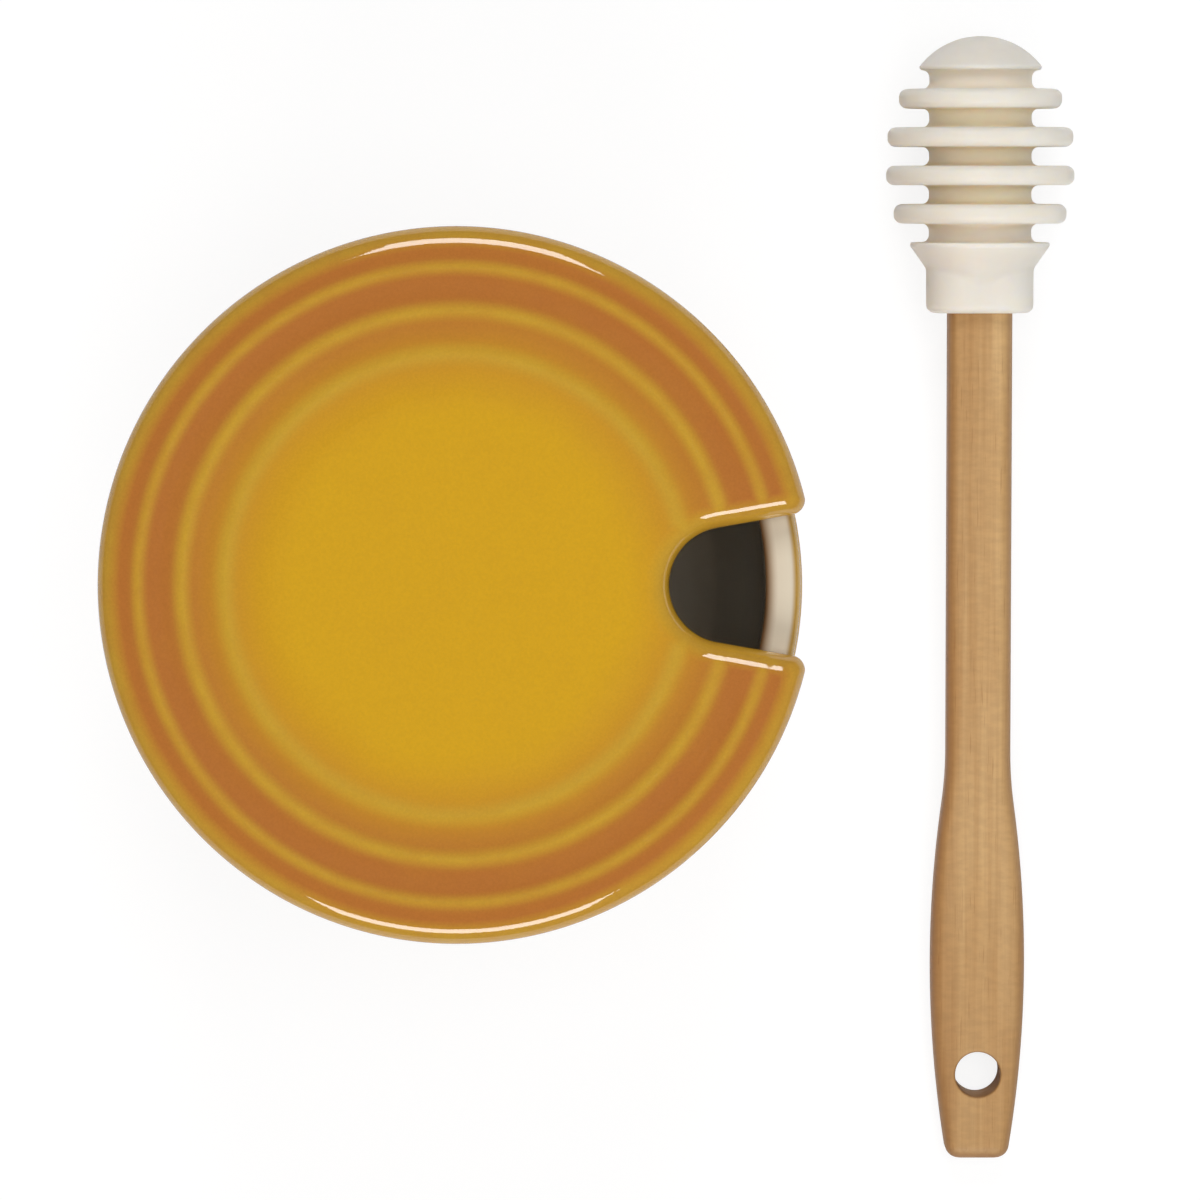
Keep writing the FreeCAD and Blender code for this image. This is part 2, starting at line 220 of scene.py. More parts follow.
class HeadSizes(bpy.types.PropertyGroup):
    """The silicone head, measured along the dipper from the mouth of its collar."""
    core_radius: metres("Core", "Radius between the discs", 0.0083)
    first_disc: metres("First disc", "Middle of the disc nearest the collar", 0.01605)
    disc_pitch: metres("Disc pitch", "Distance from disc to disc", 0.0062)
    disc_radii: FloatVectorProperty(
        name="Disc radii", description="Radii of the discs from the collar to the tip",
        default=(0.014, 0.01525, 0.01505, 0.0132), size=4, min=0.0, unit="LENGTH", precision=5)
    disc_thickness: metres("Disc thickness", "Thickness of each disc", 0.00315)
    disc_edge: metres("Disc edge", "Rounding of each disc's rim", 0.0013)
    groove_fillet: metres("Groove fillet", "Rounding at the bottom of the grooves", 0.0012)
    flare_radius: metres("Skirt radius", "Radius of the flared skirt", 0.0113)
    flare_angle: degrees("Skirt angle", "Lean of the skirt's side", 35)
    flare_edge: metres("Skirt edge", "Height of the skirt's straight rim", 0.0006)
    cap_radius: metres("Cap radius", "Radius of the domed cap", 0.0099)
    cap_height: metres("Cap height", "Height of the domed cap", 0.0055)
    cap_edge: metres("Cap edge", "Height of the cap's straight rim", 0.0006)
    rim_ease: metres("Rim ease", "Small rounding of the skirt's and the cap's rim", 0.0003)
    collar_width: metres("Collar width", "Width of the collar", 0.0173)
    collar_thickness: metres("Collar thickness", "Thickness of the collar", 0.0148)
    collar_corner: metres("Collar corner", "Rounding of the collar's corners", 0.0063)
    collar_edge: metres("Collar edge", "Rounding of the collar's mouth", 0.0013)
    collar_blend: metres("Collar blend", "Softness of the line where skirt and collar meet", 0.0002)
    clearance: metres("Clearance", "Play round the handle in its socket", 0.00005)
    tip_clearance: metres("Tip clearance", "Room past the end of the peg", 0.0005)
    steps: whole("Steps round", "Faces round the head", 160)


class HandleSizes(bpy.types.PropertyGroup):
    """The wooden handle, measured along the dipper from the mouth of the collar."""
    length: metres("Length", "From the collar to the tail", 0.13815)
    width: metres("Width", "Width of the shank", 0.0104)
    thickness: metres("Thickness", "Thickness all along", 0.0085)
    rounding: metres("Rounding", "Rounding of the long edges", 0.0022)
    grip_width: metres("Grip width", "Width of the grip", 0.0152)
    grip_height: metres("Grip height", "From the tail to the widest place", 0.032)
    grip_radius: metres("Grip curve", "Radius of the grip's side", 0.19)
    neck_radius: metres("Neck curve", "Radius where the shank runs into the grip", 0.062)
    tail_corner: metres("Tail corner", "Rounding of the tail's corners", 0.0018)
    hole_radius: metres("Hole radius", "Radius of the hanging hole", 0.0037)
    hole_inset: metres("Hole inset", "From the tail to the middle of the hole", 0.01395)
    hole_edge: metres("Hole edge", "Rounding of the hole's lips", 0.0004)
    grip_depth: metres("Socket depth", "How far the full section enters the head", 0.007)
    peg_radius: metres("Peg radius", "Radius of the peg in the head", 0.0036)
    peg_length: metres("Peg length", "Length of the peg in the head", 0.022)
    peg_edge: metres("Peg edge", "Rounding of the peg's end", 0.001)


class Finishes(bpy.types.PropertyGroup):
    """Colours of the glazes, the silicone and the wood."""
    honey: tint("Honey glaze", "Glaze where it lies thick in the middle of the lid", 207, 158, 26)
    amber: tint("Amber glaze", "Glaze in the hollows near the edge", 176, 108, 46)
    crest: tint("Crest glaze", "Thin glaze over crests and edges", 196, 153, 47)
    cream: tint("Cream glaze", "Glaze inside the pot", 217, 204, 182)
    # Also the colour of the painted shade over the lip's inner rounding
    rim_line_and_shade: tint("Rim line", "Thin line where the two glazes meet on the lip", 128, 88, 48)
    clay: tint("Bare clay", "Unglazed foot ring", 214, 190, 158)
    silicone: tint("Silicone", "Surface of the head", 231, 226, 217)
    # Painted light: the glow of light through the silicone, laid on the grooves' core
    silicone_painted_glow: tint("Deep silicone", "Light that has passed through the grooves", 255, 239, 209)
    wood_light: tint("Light wood", "Pale wood between the grain lines", 203, 167, 116)
    wood_dark: tint("Dark wood", "Grain lines", 169, 127, 78)
    # Also the colour of the pores and of the painted shade on the handle's sides
    wood_end_and_side_shade: tint("End grain", "Wood cut across the grain", 150, 104, 60)


class StageSizes(bpy.types.PropertyGroup):
    """Camera, lamps and floor."""
    camera: position("Camera", "Place of the camera, which looks down", 0.02157, -0.00226, 1.0)
    view_width: metres("View width", "Width of the view on the floor", 0.1977)
    floor_size: metres("Floor", "Half width of the floor", 3.0)
    upper_lamp: position("Upper strip", "Place of the lamp above the picture", 0.03, 0.865, 1.05)
    upper_length: metres("Upper length", "Length of the upper strip lamp", 0.54)
    lower_lamp: position("Lower strip", "Place of the lamp below the picture", -0.01, -1.18, 1.05)
    lower_length: metres("Lower length", "Length of the lower strip lamp", 1.03)
    strip_width: metres("Strip width", "Width of both strip lamps", 0.5)
    strip_glow: factor("Strip glow", "Radiance of the strip lamps", 7.4)
    fill_lamp: position("Fill", "Place of the soft lamp over the camera", 0.2, 0.0, 1.35)
    fill_radius: metres("Fill radius", "Radius of the soft lamp", 0.35)
    fill_glow: factor("Fill glow", "Radiance of the soft lamp", 5.9)
    ambient: factor("Ambient", "Strength of the room's light", 0.11)
    floor_glow: factor("Floor glow", "Share of the floor's white that shadows don't reach", 0.8)


def ease(low, high, value):
    """0 below low, 1 above high, and a smooth rise between."""
    share = min(max((value - low) / (high - low), 0.0), 1.0)
    return share * share * (3 - 2 * share)


def turn(angle_from_x):
    return Vector((math.cos(angle_from_x), math.sin(angle_from_x)))


def quarter_steps(steps):
    """The angles before and after each step of a quarter turn."""
    angles = [QUARTER * step / steps for step in range(steps + 1)]
    return list(zip(angles, angles[1:]))


def quarter_eases(steps):
    """How far each step of a quarter turn lies past its start, and how far short of its end."""
    return [(1 - math.cos(after), 1 - math.sin(after)) for _, after in quarter_steps(steps)]


def bend(centre, radius, start, end, steps):
    """Points of an arc from one angle to another, both ends included."""
    centre = Vector(centre)
    angles = [start + (end - start) * step / steps for step in range(steps + 1)]
    return [centre + turn(each) * radius for each in angles]


def rounded_path(corners, steps):
    """A line through corners given as (across, along, rounding), each corner turned into an arc."""
    places = [Vector(corner[:2]) for corner in corners]
    path = [places[0]]
    for before, here, after, corner in zip(places, places[1:], places[2:], corners[1:]):
        rounding = corner[2]
        if rounding == 0:
            path.append(here)
            continue
        come = (before - here).normalized()
        leave = (after - here).normalized()
        half = come.angle(leave) / 2
        centre = here + (come + leave).normalized() * (rounding / math.sin(half))
        first = here + come * (rounding / math.tan(half)) - centre
        last = here + leave * (rounding / math.tan(half)) - centre
        sweep = first.angle_signed(last)
        start = math.atan2(first.y, first.x)
        path += bend(centre, rounding, start, start - sweep, steps)
    return path + [places[-1]]


def circle_through(first, second, third):
    """Centre and radius of the circle through three points."""
    run = second - first
    reach = third - first
    twice = 2 * (run.x * reach.y - run.y * reach.x)
    offset = Vector((reach.y * run.length_squared - run.y * reach.length_squared,
                     run.x * reach.length_squared - reach.x * run.length_squared)) / twice
    return first + offset, offset.length


def crest_distance(place, pitch):
    """How far a place on a fluted surface lies from the nearest crest."""
    return pitch / 2 - abs(place % pitch - pitch / 2)


def flute_drop(distance, pitch, depth, crest_radius):
    """How far a fluted surface lies under its crests: round crests that run into round hollows."""
    half = pitch / 2
    slope = 2 * depth / half
    crest = crest_radius * slope
    if distance < crest:
        return distance ** 2 / (2 * crest_radius)
    return depth - slope * (half - distance) ** 2 / (2 * (half - crest))


def block_radius(direction, half_width, half_thickness, corner):
    """How far a rounded rectangle reaches in a direction from its middle."""
    across, along = abs(direction.x), abs(direction.y)
    if across * (half_thickness - corner) >= along * half_width:
        return half_width / across
    if along * (half_width - corner) >= across * half_thickness:
        return half_thickness / along
    centre = Vector((half_width - corner, half_thickness - corner))
    ahead = across * centre.x + along * centre.y
    return ahead + math.sqrt(ahead ** 2 - centre.length_squared + corner ** 2)


def draw_line(bm, places):
    """A line of vertices, extruded from the first place to the last."""
    vert = bm.verts.new(places[0])
    line = [vert]
    for place in places[1:]:
        vert = bmesh.ops.extrude_vert_indiv(bm, verts=[vert])["verts"][0]
        vert.co = place
        line.append(vert)
    return line


def spin_line(bm, sweep, steps):
    """Turn all that is drawn so far around the z axis."""
    full = sweep > math.radians(359)
    bmesh.ops.spin(bm, geom=bm.verts[:] + bm.edges[:], cent=(0, 0, 0), axis=(0, 0, 1),
                   dvec=(0, 0, 0), angle=sweep, steps=steps, use_merge=full,
                   use_normal_flip=False, use_duplicate=False)
    bmesh.ops.remove_doubles(bm, verts=bm.verts[:], dist=WELD)


def border(bm):
    return [edge for edge in bm.edges if edge.is_boundary]


def next_loop(bm, edges):
    """Extrude a loop of edges and give its new edges and vertices, still on the old ones."""
    made = bmesh.ops.extrude_edge_only(bm, edges=edges)["geom"]
    verts = [item for item in made if isinstance(item, bmesh.types.BMVert)]
    fresh = set(verts)
    loop = [item for item in made if isinstance(item, bmesh.types.BMEdge)]
    return [edge for edge in loop if edge.verts[0] in fresh and edge.verts[1] in fresh], verts


def ring_edges(bm, ring):
    return [bm.edges.get((here, there)) for here, there in zip(ring, ring[1:] + ring[:1])]


def next_ring(bm, ring, places):
    """Extrude an ordered ring of vertices to new places and give the new ring in the same order."""
    fresh = set(next_loop(bm, ring_edges(bm, ring))[1])
    new_ring = []
    for vert, place in zip(ring, places):
        new = next(edge.other_vert(vert) for edge in vert.link_edges
                   if edge.other_vert(vert) in fresh)
        new.co = place
        new_ring.append(new)
    return new_ring


def as_mesh(bm, name):
    mesh = bpy.data.meshes.new(name)
    bm.to_mesh(mesh)
    bm.free()
    return mesh


def add_object(name, data):
    made = bpy.data.objects.new(name, data)
    bpy.context.scene.collection.objects.link(made)
    return made


def finish_piece(bm, name, node_name, body, material):
    """Weld, turn the faces outwards, and hand the piece to the frame in place of its CAD node."""
    bmesh.ops.remove_doubles(bm, verts=bm.verts[:], dist=WELD)
    bmesh.ops.dissolve_degenerate(bm, dist=WELD, edges=bm.edges[:])
    bmesh.ops.recalc_face_normals(bm, faces=bm.faces[:])
    open_edges = sum(1 for edge in bm.edges if not edge.is_manifold)
    if open_edges:
        raise RuntimeError(f"{name} has {open_edges} open edges")
    for face in bm.faces:
        face.smooth = True
    for edge in bm.edges:
        edge.smooth = edge.calc_face_angle() < SHARP_ANGLE
    mesh = as_mesh(bm, name)
    mesh.materials.append(material)
    piece = add_object(name, mesh)
    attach(piece, body)
    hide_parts(node_name)


# The pot

def lip_radius(sizes):
    """The rounding on each side of the lip."""
    return (sizes.wall - sizes.lip_land) / 2


def pot_wall(sizes):
    """The circle that the crests of the wall lie on: its centre and radius."""
    lip = lip_radius(sizes)
    rim = Vector((sizes.rim_radius, sizes.rim_height - lip))
    belly = Vector((sizes.rim_radius + sizes.belly_bulge, sizes.belly_height))
    base = Vector((sizes.rim_radius - sizes.base_inset, sizes.base_height))
    return circle_through(rim, belly, base)


def pot_inside(sizes):
    """The floor and the inner wall, from the axis up to the lip."""
    centre, radius = pot_wall(sizes)
    centre = centre - Vector((sizes.wall, 0))
    lip = lip_radius(sizes)
    low_height = sizes.floor_top + sizes.floor_corner_rise
    low_angle = math.asin((low_height - centre.y) / radius)
    high_angle = math.asin((sizes.rim_height - lip - centre.y) / radius)
    low = centre + turn(low_angle) * radius
    inward = (centre - low).normalized()
    corner = sizes.floor_corner_rise / (1 - inward.y)
    corner_centre = low + inward * corner
    path = [Vector((0, sizes.floor_top)), Vector((corner_centre.x / 2, sizes.floor_top))]
    path += bend(corner_centre, corner, -QUARTER, low_angle, FLOOR_STEPS)
    path += bend(centre, radius, low_angle, high_angle, INSIDE_STEPS)[1:]
    return path


def pot_lip(sizes):
    """The lip in two stretches: cream over the top, and the outer edge where the glazes meet."""
    lip = lip_radius(sizes)
    height = sizes.rim_height - lip
    inner = Vector((sizes.rim_radius - sizes.wall + lip, height))
    outer = Vector((sizes.rim_radius - lip, height))
    over = bend(inner, lip, math.pi, QUARTER, LIP_STEPS)[1:]
    return over, bend(outer, lip, QUARTER, 0, RIM_STEPS)


def pot_outside(sizes):
    """The fluted wall from the lip down to the base: each point with its share of crest glaze."""
    centre, radius = pot_wall(sizes)
    lip = lip_radius(sizes)
    upper = math.asin((sizes.rim_height - lip - centre.y) / radius)
    lower = math.asin((sizes.base_height - centre.y) / radius)
    pitch = (upper - lower) * radius / sizes.flutes
    steps = sizes.flutes * FLUTE_STEPS
    path = []
    for step in range(1, steps + 1):
        distance = crest_distance(step / steps * pitch * sizes.flutes, pitch)
        drop = flute_drop(distance, pitch, sizes.flute_depth, sizes.crest_radius)
        place = centre + turn(upper + (lower - upper) * step / steps) * (radius - drop)
        path.append((place, 1 - ease(*POT_CREST, distance)))
    return path


def pot_foot(sizes):
    """The rounded base, the foot ring and the underside, back to the axis."""
    centre, radius = pot_wall(sizes)
    base = Vector((sizes.rim_radius - sizes.base_inset, sizes.base_height))
    foot = base.x - sizes.foot_inset
    shoulder = Vector((foot, sizes.foot_rise))
    inward = (centre - base).normalized()
    chord = shoulder - base
    curve = chord.length_squared / (2 * inward.dot(chord))
    focus = base + inward * curve
    start = math.atan2(base.y - focus.y, base.x - focus.x)
    end = math.atan2(shoulder.y - focus.y, shoulder.x - focus.x)
    curved = bend(focus, curve, start, end, BASE_STEPS)[1:]
    inner = foot - sizes.foot_width
    corners = [(foot, sizes.foot_rise, 0), (foot, 0, sizes.foot_edge), (inner, 0, sizes.foot_edge),
               (inner, sizes.foot_recess, sizes.foot_edge / 2), (inner / 2, sizes.foot_recess, 0),
               (0, sizes.foot_recess, 0)]
    return curved, rounded_path(corners, FOOT_STEPS)[1:]


def model_pot(sizes):
    """One outline turned around the axis, with its glazes and the painted shade on the lip marked
    on it.
    """
    bm = bmesh.new()
    layers = {name: bm.verts.layers.float.new(name) for name in ("crest", "inside", "line", "bare")}
    over, edge = pot_lip(sizes)
    curved, ring = pot_foot(sizes)
    stations = [(place, {"inside": 1.0}) for place in pot_inside(sizes)]
    # Painted shade: brown over the lip's inner rounding, strongest at the inner wall, fading to its
    # top
    for step, place in enumerate(over):
        brown = INNER_PAINTED_SHADE * (1 - ease(*INNER_SHADE_END, step / len(over)))
        stations.append((place, {"inside": 1.0, "line": brown}))
    for step, place in enumerate(edge):
        share = step / (len(edge) - 1)
        brown = OUTER_LINE * ease(*OUTER_LINE_START, share) * (1 - ease(*OUTER_LINE_END, share))
        cream = 1 - ease(*CREAM_END, share)
        stations.append((place, {"inside": cream, "crest": 1.0, "line": brown}))
    stations += [(place, {"crest": share}) for place, share in pot_outside(sizes)]
    stations += [(place, {"crest": BASE_CREST}) for place in curved]
    stations += [(place, {"bare": 1.0}) for place in ring]
    line = draw_line(bm, [(place.x, 0, place.y) for place, _ in stations])
    for vert, (_, marks) in zip(line, stations):
        for name, layer in layers.items():
            vert[layer] = marks.get(name, 0.0)
    spin_line(bm, math.tau, sizes.steps)
    return bm


# The lid

def notch_frame(sizes):
    """The centre of the notch's end, the ways along and across its +y side, its corner's centre."""
    lean = sizes.notch_flare
    along = turn(lean)
    across = turn(lean + QUARTER)
    centre = Vector((sizes.radius - sizes.notch_reach + sizes.notch_end_radius, 0))
    start = centre + across * (sizes.notch_end_radius + sizes.notch_corner_radius)
    ahead = start.dot(along)
    inset = sizes.radius - sizes.notch_corner_radius
    run = math.sqrt(ahead ** 2 - start.length_squared + inset ** 2) - ahead
    return centre, along, across, start + along * run


def notch_line(sizes, inset):
    """The notch's +y side from its end to the lid's rim, drawn an inset inside the lid's edge."""
    centre, _, across, corner = notch_frame(sizes)
    end_radius = sizes.notch_end_radius + inset
    corner_radius = sizes.notch_corner_radius - inset
    line = bend(centre, end_radius, math.pi, sizes.notch_flare + QUARTER, NOTCH_END_STEPS)
    side_start = line[-1]
    side_end = corner - across * corner_radius
    line += [side_start.lerp(side_end, step / NOTCH_SIDE_STEPS)
             for step in range(1, NOTCH_SIDE_STEPS + 1)]
    start = sizes.notch_flare - QUARTER
    end = math.atan2(corner.y, corner.x)
    return line + bend(corner, corner_radius, start, end, NOTCH_CORNER_STEPS)[1:]


def corner_swell(sizes, way):
    """How far the edge swells out at the notch's corner, as a share of its rounding.

    The direction is taken from the corner's centre. Seen from above, the edge then follows two
    straight lines and the tighter rounding between them, and never passes the lid's rim.
    """
    _, _, across, corner = notch_frame(sizes)
    rim = corner.normalized()
    half = rim.angle(-across) / 2
    lean = min(way.angle(rim), way.angle(-across))
    reach, rounding = sizes.notch_corner_radius, sizes.notch_corner_plan
    straight = (reach - rounding) * math.tan(half)
    if lean <= math.atan2(straight, reach):
        out = reach / math.cos(lean)
    else:
        middle = (reach - rounding) / math.cos(half)
        out = middle * math.cos(half - lean)
        out += math.sqrt(max(rounding ** 2 - (middle * math.sin(half - lean)) ** 2, 0.0))
    ahead = corner.dot(way)
    rim_reach = math.sqrt(ahead ** 2 + sizes.radius ** 2 - corner.length_squared) - ahead
    return (min(out, rim_reach) - reach + sizes.edge_radius) / sizes.edge_radius


def outward(sizes, place):
    """The direction in which the lid's edge faces at a place on the border of its top."""
    centre, along, across, corner = notch_frame(sizes)
    flat = Vector((place.x, abs(place.y)))
    on_rim = abs(flat.length - (sizes.radius - sizes.edge_radius)) < ON_RIM
    if on_rim and math.atan2(flat.y, flat.x) >= math.atan2(corner.y, corner.x):
        facing = flat.normalized()
    elif (flat - corner).dot(along) > 0:
        facing = (flat - corner).normalized()
        facing *= corner_swell(sizes, facing)
    elif (flat - centre).dot(along) > 0:
        facing = -across
    else:
        facing = (centre - flat).normalized()
    return Vector((facing.x, math.copysign(facing.y, facing.y * place.y), 0))


def open_notch(vert, first):
    """Turn a vertex of the half disc off the x axis, so that its ring starts at the notch's side.

    Gives the distance from that side along the ring.
    """
    around = math.atan2(abs(vert.co.y), vert.co.x)
    radius = vert.co.xy.length
    if around < NOTCH_BLEND:
        around = first + around * (NOTCH_BLEND - first) / NOTCH_BLEND
    vert.co.xy = turn(around) * radius
    return (around - first) * radius


def ring_crest(sizes, radius):
    """How far a place on the lid lies from the nearest ring, and how deep the hollow there is."""
    outer_ring = sizes.radius - sizes.ring_inset
    inner_ring = outer_ring - (sizes.rings - 1) * sizes.ring_pitch
    if radius < inner_ring - sizes.ring_pitch:
        return 0.0, 0.0
    depth = sizes.inner_depth if radius < inner_ring else sizes.flute_depth
    return crest_distance(radius - outer_ring, sizes.ring_pitch), depth


def model_lid_top(bm, sizes, layers):
    """The ringed top: half a disc, opened at the notch and mirrored."""
    outline = notch_line(sizes, sizes.edge_radius)
    firsts = [math.atan2(place.y, place.x) for place in outline]
    plain = [outline[0].length * share for share in PLAIN_RINGS]
    radii = plain + [place.length for place in outline]
    firsts = [0.0] * len(plain) + firsts
    level = bm.verts.layers.int.new("level")
    line = draw_line(bm, [(radius, 0, sizes.top) for radius in radii])
    for number, (vert, radius) in enumerate(zip(line, radii)):
        vert[level] = number
        distance, depth = ring_crest(sizes, radius)
        if depth:
            vert.co.z -= flute_drop(distance, sizes.ring_pitch, depth, sizes.crest_radius)
        from_outer = (sizes.radius - sizes.ring_inset - radius) / sizes.ring_pitch
        ring = max(round(from_outer), 0)
        thin = 1 - ease(LID_CREST[0], LID_CREST[1] + LID_CREST_GROWTH * ring, distance)
        share = (LID_CREST_SHARE[0] + LID_CREST_SHARE[1] * ring) * thin
        vert[layers["crest"]] = share if from_outer < sizes.rings - 0.5 else 0.0
    spin_line(bm, math.pi, sizes.steps)
    for vert in bm.verts:
        if vert.co.xy.length > WELD:
            gap = open_notch(vert, firsts[vert[level]])
            kept = NOTCH_FLUTE + (1 - NOTCH_FLUTE) * ease(0.0, NOTCH_FADE, gap)
            vert.co.z = sizes.top - (sizes.top - vert.co.z) * kept
        if abs(vert.co.y) < ON_PLANE:
            vert.co.y = 0.0
    half_disc = bm.verts[:] + bm.edges[:] + bm.faces[:]
    bmesh.ops.mirror(bm, geom=half_disc, axis="Y", merge_dist=WELD)


def model_lid_edge(bm, sizes, layers):
    """The rounded edge and the low wall, run out and down from the border of the top."""
    facing = bm.verts.layers.float_vector.new("facing")
    loop = border(bm)
    for vert in {vert for edge in loop for vert in edge.verts}:
        vert[facing] = outward(sizes, vert.co)
        vert[layers["fall"]] = sizes.edge_radius - (sizes.top - vert.co.z)
        vert[layers["edge"]] = 0.0
    for before, after in quarter_steps(EDGE_STEPS):
        loop, verts = next_loop(bm, loop)
        for vert in verts:
            vert.co += vert[facing] * sizes.edge_radius * (math.sin(after) - math.sin(before))
            vert.co.z -= vert[layers["fall"]] * (math.cos(before) - math.cos(after))
            vert[layers["edge"]] = ease(*LID_EDGE_RISE, math.sin(after))
    wall_end = sizes.under + sizes.under_radius
    for share in (0.5, 1.0):
        loop, verts = next_loop(bm, loop)
        start = sizes.top - sizes.edge_radius
        for vert in verts:
            vert.co.z = start + (wall_end - start) * share
    for before, after in quarter_steps(UNDER_STEPS):
        loop, verts = next_loop(bm, loop)
        for vert in verts:
            vert.co -= vert[facing] * sizes.under_radius * (math.cos(before) - math.cos(after))
            vert.co.z = wall_end - sizes.under_radius * math.sin(after)


def model_flange(sizes):
    """The locating ring under the lid, an open shell whose upper border lies on the underside."""
    bm = bmesh.new()
    facing = bm.verts.layers.float_vector.new("facing")
    centre, _, across, _ = notch_frame(sizes)
    inner = sizes.flange_outer - sizes.flange_width
    low = sizes.under - sizes.flange_depth
    radii = [inner + sizes.flange_edge, sizes.flange_outer - sizes.flange_width / 2,
             sizes.flange_outer - sizes.flange_edge]
    reach = sizes.notch_end_radius + sizes.flange_gap + sizes.flange_edge
    reach -= centre.x * math.sin(sizes.notch_flare)
    draw_line(bm, [(radius, 0, low) for radius in radii])
    spin_line(bm, math.pi, sizes.steps)
    ends = [vert for vert in bm.verts if abs(vert.co.y) < ON_PLANE and vert.co.x > 0]
    for vert in bm.verts:
        first = sizes.notch_flare + math.asin(reach / vert.co.xy.length)
        open_notch(vert, first)
    for vert in bm.verts:
        radius = vert.co.xy.length
        side = (radius - radii[1]) / (radii[2] - radii[1])
        vert[facing] = vert.co.xy.to_3d().normalized() * round(side)
    for vert in ends:
        vert[facing] -= across.to_3d()
    for vert in bm.verts:
        if vert.co.x < 0 and abs(vert.co.y) < ON_PLANE:
            vert.co.y = 0.0
    whole_ring = bm.verts[:] + bm.edges[:] + bm.faces[:]
    copies = bmesh.ops.mirror(bm, geom=whole_ring, axis="Y", merge_dist=WELD)
    for item in copies["geom"]:
        if isinstance(item, bmesh.types.BMVert) and item.co.y < 0:
            item[facing].y *= -1
    loop = border(bm)
    for before, after in quarter_steps(FLANGE_STEPS):
        loop, verts = next_loop(bm, loop)
        for vert in verts:
            vert.co += vert[facing] * sizes.flange_edge * (math.sin(after) - math.sin(before))
            vert.co.z += sizes.flange_edge * (math.cos(before) - math.cos(after))
    loop, verts = next_loop(bm, loop)
    for vert in verts:
        vert.co.z = sizes.under
    return bm


def model_lid(sizes):
    """The ringed plate with its notch, and the locating ring joined to its underside."""
    bm = bmesh.new()
    layers = {name: bm.verts.layers.float.new(name) for name in ("crest", "edge", "fall")}
    model_lid_top(bm, sizes, layers)
    model_lid_edge(bm, sizes, layers)
    spare = as_mesh(model_flange(sizes), "locating_ring")
    bm.from_mesh(spare)
    bpy.data.meshes.remove(spare)
    bmesh.ops.triangle_fill(bm, edges=border(bm), use_beauty=True, use_dissolve=False,
                            normal=(0, 0, -1))
    return bm


# The dipper

def lie_down(bm, mouth):
    """Lay a piece of the dipper, drawn upright around the z axis, along the dipper on the table."""
    across = Vector((1, 0, 0))
    depth = dipper_axis.cross(across)
    placing = Matrix((across, depth, dipper_axis)).transposed().to_4x4()
    placing.translation = mouth
    bmesh.ops.transform(bm, matrix=placing, verts=bm.verts[:])


def collar_mouth(handle):
    """The place of the collar's mouth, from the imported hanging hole."""
    return hole_place + dipper_axis * (handle.length - handle.hole_inset)


def head_outline(sizes):
    """The turned part of the head, from its tip to the rim of the flared skirt."""
    half = sizes.disc_thickness / 2
    middles = [sizes.first_disc + disc * sizes.disc_pitch for disc in range(len(sizes.disc_radii))]
    groove = sizes.disc_pitch - sizes.disc_thickness
    skirt_top = middles[0] - half - groove
    cap_start = middles[-1] + half + groove
    dome_start = cap_start + sizes.cap_edge
    rise = sizes.cap_height - sizes.cap_edge
    dome = (sizes.cap_radius ** 2 + rise ** 2) / (2 * rise)
    centre = Vector((0, cap_start + sizes.cap_height - dome))
    path = bend(centre, dome, QUARTER, math.asin((dome_start - centre.y) / dome), DOME_STEPS)[:-1]
    corners = [(path[-1].x, path[-1].y, 0), (sizes.cap_radius, dome_start, sizes.rim_ease),
               (sizes.cap_radius, cap_start, sizes.cap_edge * 0.8),
               (sizes.core_radius, cap_start, sizes.groove_fillet)]
    for radius, middle in reversed(list(zip(sizes.disc_radii, middles))):
        corners += [(sizes.core_radius, middle + half, sizes.groove_fillet),
                    (radius, middle + half, sizes.disc_edge),
                    (radius, middle - half, sizes.disc_edge),
                    (sizes.core_radius, middle - half, sizes.groove_fillet)]
    corners += [(sizes.core_radius, skirt_top, sizes.groove_fillet),
                (sizes.flare_radius, skirt_top, sizes.rim_ease),
                (sizes.flare_radius, skirt_top - sizes.flare_edge, 0)]
    return path[:-1] + rounded_path(corners, DISC_STEPS)


